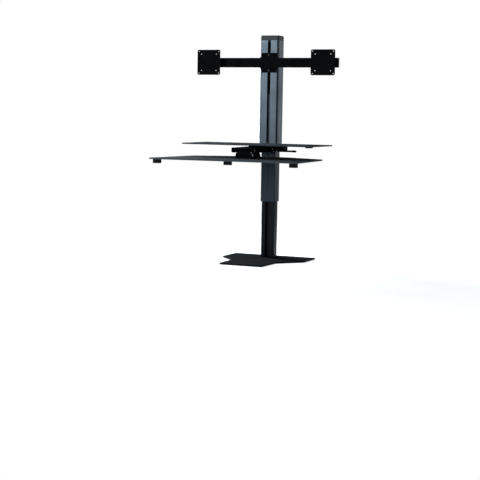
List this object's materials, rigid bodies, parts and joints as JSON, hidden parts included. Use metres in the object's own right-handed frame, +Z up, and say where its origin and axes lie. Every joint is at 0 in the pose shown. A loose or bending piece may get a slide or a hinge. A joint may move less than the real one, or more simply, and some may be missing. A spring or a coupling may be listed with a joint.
{
  "type": "standing desk converter",
  "caption": "Desktop sit-stand converter: weighted base plate, telescoping electric column, upper shelf, keyboard tray on a levelling arm, and a crossbar with tilting monitor plates.",
  "frame": {"origin": "on the surface that the base stands on, at the middle of the column's width, 4.5 mm behind the middle of its depth", "axes": "+Z up, +X to the user's right, +Y away from the user"},
  "size_m": [0.6992, 0.636, 1.038],
  "materials": {
    "mast_paint": "satin metallic grey-blue powder coat",
    "cap_plastic": "matte dark grey moulded plastic",
    "column_paint": "satin blue-black powder coat",
    "black_paint": "matte black powder coat",
    "tray_paint": "compact laminate board, matte charcoal with a fine texture",
    "fastener_black": "black oxide",
    "steel": "bright zinc plate",
    "lever_finish": "black coating",
    "plastic": "matte black moulded plastic",
    "rubber": "matte black rubber"
  },
  "bodies": {
    "base": {"base_pad": "rubber", "base_plate": "black_paint", "column_flange": "black_paint", "base_screw_1": "steel", "base_screw_2": "steel", "base_screw_3": "steel", "base_screw_4": "steel", "lower_column": "column_paint", "lift_nut": "steel"},
    "mid_stage": {"mid_column": "column_paint", "mid_glide_front": "plastic", "mid_glide_rear": "plastic"},
    "outer_stage": {"outer_mast": "mast_paint", "mast_top_cap": "cap_plastic", "mast_glide_ring": "plastic", "gear_motor": "steel", "lead_screw": "steel", "control_box": "plastic", "power_inlet": "plastic", "switch_housing": "plastic", "upper_shelf": "tray_paint", "shelf_collar": "black_paint", "shelf_gusset_left": "black_paint", "shelf_gusset_right": "black_paint", "arm_mount": "black_paint", "arm_rear_pin": "steel"},
    "rocker": {"rocker_switch": "plastic"},
    "arm": {"arm_housing": "black_paint"},
    "level_link": {"level_link": "steel"},
    "lever": {"lever_rod": "lever_finish", "lever_grip": "plastic"},
    "arm_head": {"head_block": "black_paint", "front_pivot_bolt": "steel"},
    "tray": {"tray_bracket": "black_paint", "tilt_bolt": "steel", "keyboard_tray": "tray_paint", "tray_foot_1": "rubber", "tray_foot_2": "rubber", "tray_foot_3": "rubber"},
    "carriage": {"carriage_plate": "black_paint", "carriage_nut": "steel", "carriage_bolt_upper": "fastener_black", "carriage_bolt_lower": "fastener_black", "crossbar": "black_paint", "crossbar_cap_left": "plastic", "crossbar_cap_right": "plastic"},
    "slider_left": {"slider_left": "black_paint", "pan_pin_left": "steel"},
    "knob_left": {"slider_knob_left": "plastic"},
    "pan_left": {"tilt_block_left": "black_paint", "tilt_pin_left": "steel"},
    "plate_left": {"vesa_plate_left": "black_paint"},
    "slider_right": {"slider_right": "black_paint", "pan_pin_right": "steel"},
    "knob_right": {"slider_knob_right": "plastic"},
    "pan_right": {"tilt_block_right": "black_paint", "tilt_pin_right": "steel"},
    "plate_right": {"vesa_plate_right": "black_paint"}
  },
  "joints": [
    {"name": "mid_lift", "type": "slide", "parent": "base", "child": "mid_stage", "axis": [0, 0, 1], "range_m": [-0.22, 0]},
    {"name": "outer_lift", "type": "slide", "parent": "mid_stage", "child": "outer_stage", "axis": [0, 0, 1], "range_m": [-0.22, 0]},
    {"name": "arm_lower", "type": "hinge", "parent": "outer_stage", "child": "arm", "pos_m": [0, -0.118, 0.518], "axis": [1, 0, 0], "range_deg": [0, 20]},
    {"name": "link_swing", "type": "hinge", "parent": "outer_stage", "child": "level_link", "pos_m": [0, -0.106, 0.509], "axis": [1, 0, 0], "range_deg": [0, 20]},
    {"name": "head_level", "type": "hinge", "parent": "arm", "child": "arm_head", "pos_m": [0, -0.317, 0.516], "axis": [1, 0, 0], "range_deg": [-20, 0]},
    {"name": "tray_tilt", "type": "hinge", "parent": "arm_head", "child": "tray", "pos_m": [0, -0.312, 0.495], "axis": [1, 0, 0], "range_deg": [-5, 5]},
    {"name": "release_lever", "type": "hinge", "parent": "outer_stage", "child": "lever", "pos_m": [0.0567, -0.096, 0.518], "axis": [1, 0, 0], "range_deg": [0, 25], "stiffness_Nm_per_rad": 0.3, "springref_deg": -11.46},
    {"name": "rocker_press", "type": "hinge", "parent": "outer_stage", "child": "rocker", "pos_m": [0.297, -0.297, 0.5342], "axis": [1, 0, 0], "range_deg": [-7, 7], "stiffness_Nm_per_rad": 0.02},
    {"name": "mount_height", "type": "slide", "parent": "outer_stage", "child": "carriage", "axis": [0, 0, 1], "range_m": [-0.19, 0.05]},
    {"name": "slide_left", "type": "slide", "parent": "carriage", "child": "slider_left", "axis": [1, 0, 0], "range_m": [-0.028, 0.1]},
    {"name": "lock_knob_left", "type": "hinge", "parent": "slider_left", "child": "knob_left", "pos_m": [-0.2826, -0.0522, 0.88], "axis": [0, 0, 1], "range_deg": [-180, 180]},
    {"name": "pan_left", "type": "hinge", "parent": "slider_left", "child": "pan_left", "pos_m": [-0.2826, -0.072, 0.913], "axis": [0, 0, 1], "range_deg": [-18, 18]},
    {"name": "tilt_left", "type": "hinge", "parent": "pan_left", "child": "plate_left", "pos_m": [-0.2826, -0.083, 0.913], "axis": [1, 0, 0], "range_deg": [-15, 15]},
    {"name": "slide_right", "type": "slide", "parent": "carriage", "child": "slider_right", "axis": [-1, 0, 0], "range_m": [-0.028, 0.1]},
    {"name": "lock_knob_right", "type": "hinge", "parent": "slider_right", "child": "knob_right", "pos_m": [0.2826, -0.0522, 0.88], "axis": [0, 0, 1], "range_deg": [-180, 180]},
    {"name": "pan_right", "type": "hinge", "parent": "slider_right", "child": "pan_right", "pos_m": [0.2826, -0.072, 0.913], "axis": [0, 0, 1], "range_deg": [-18, 18]},
    {"name": "tilt_right", "type": "hinge", "parent": "pan_right", "child": "plate_right", "pos_m": [0.2826, -0.083, 0.913], "axis": [1, 0, 0], "range_deg": [-15, 15]}
  ],
  "couplings": [
    {"joint": "mid_lift", "follows": "outer_lift", "ratio": 1},
    {"joint": "head_level", "follows": "arm_lower", "ratio": -1},
    {"joint": "link_swing", "follows": "arm_lower", "ratio": 1}
  ]
}
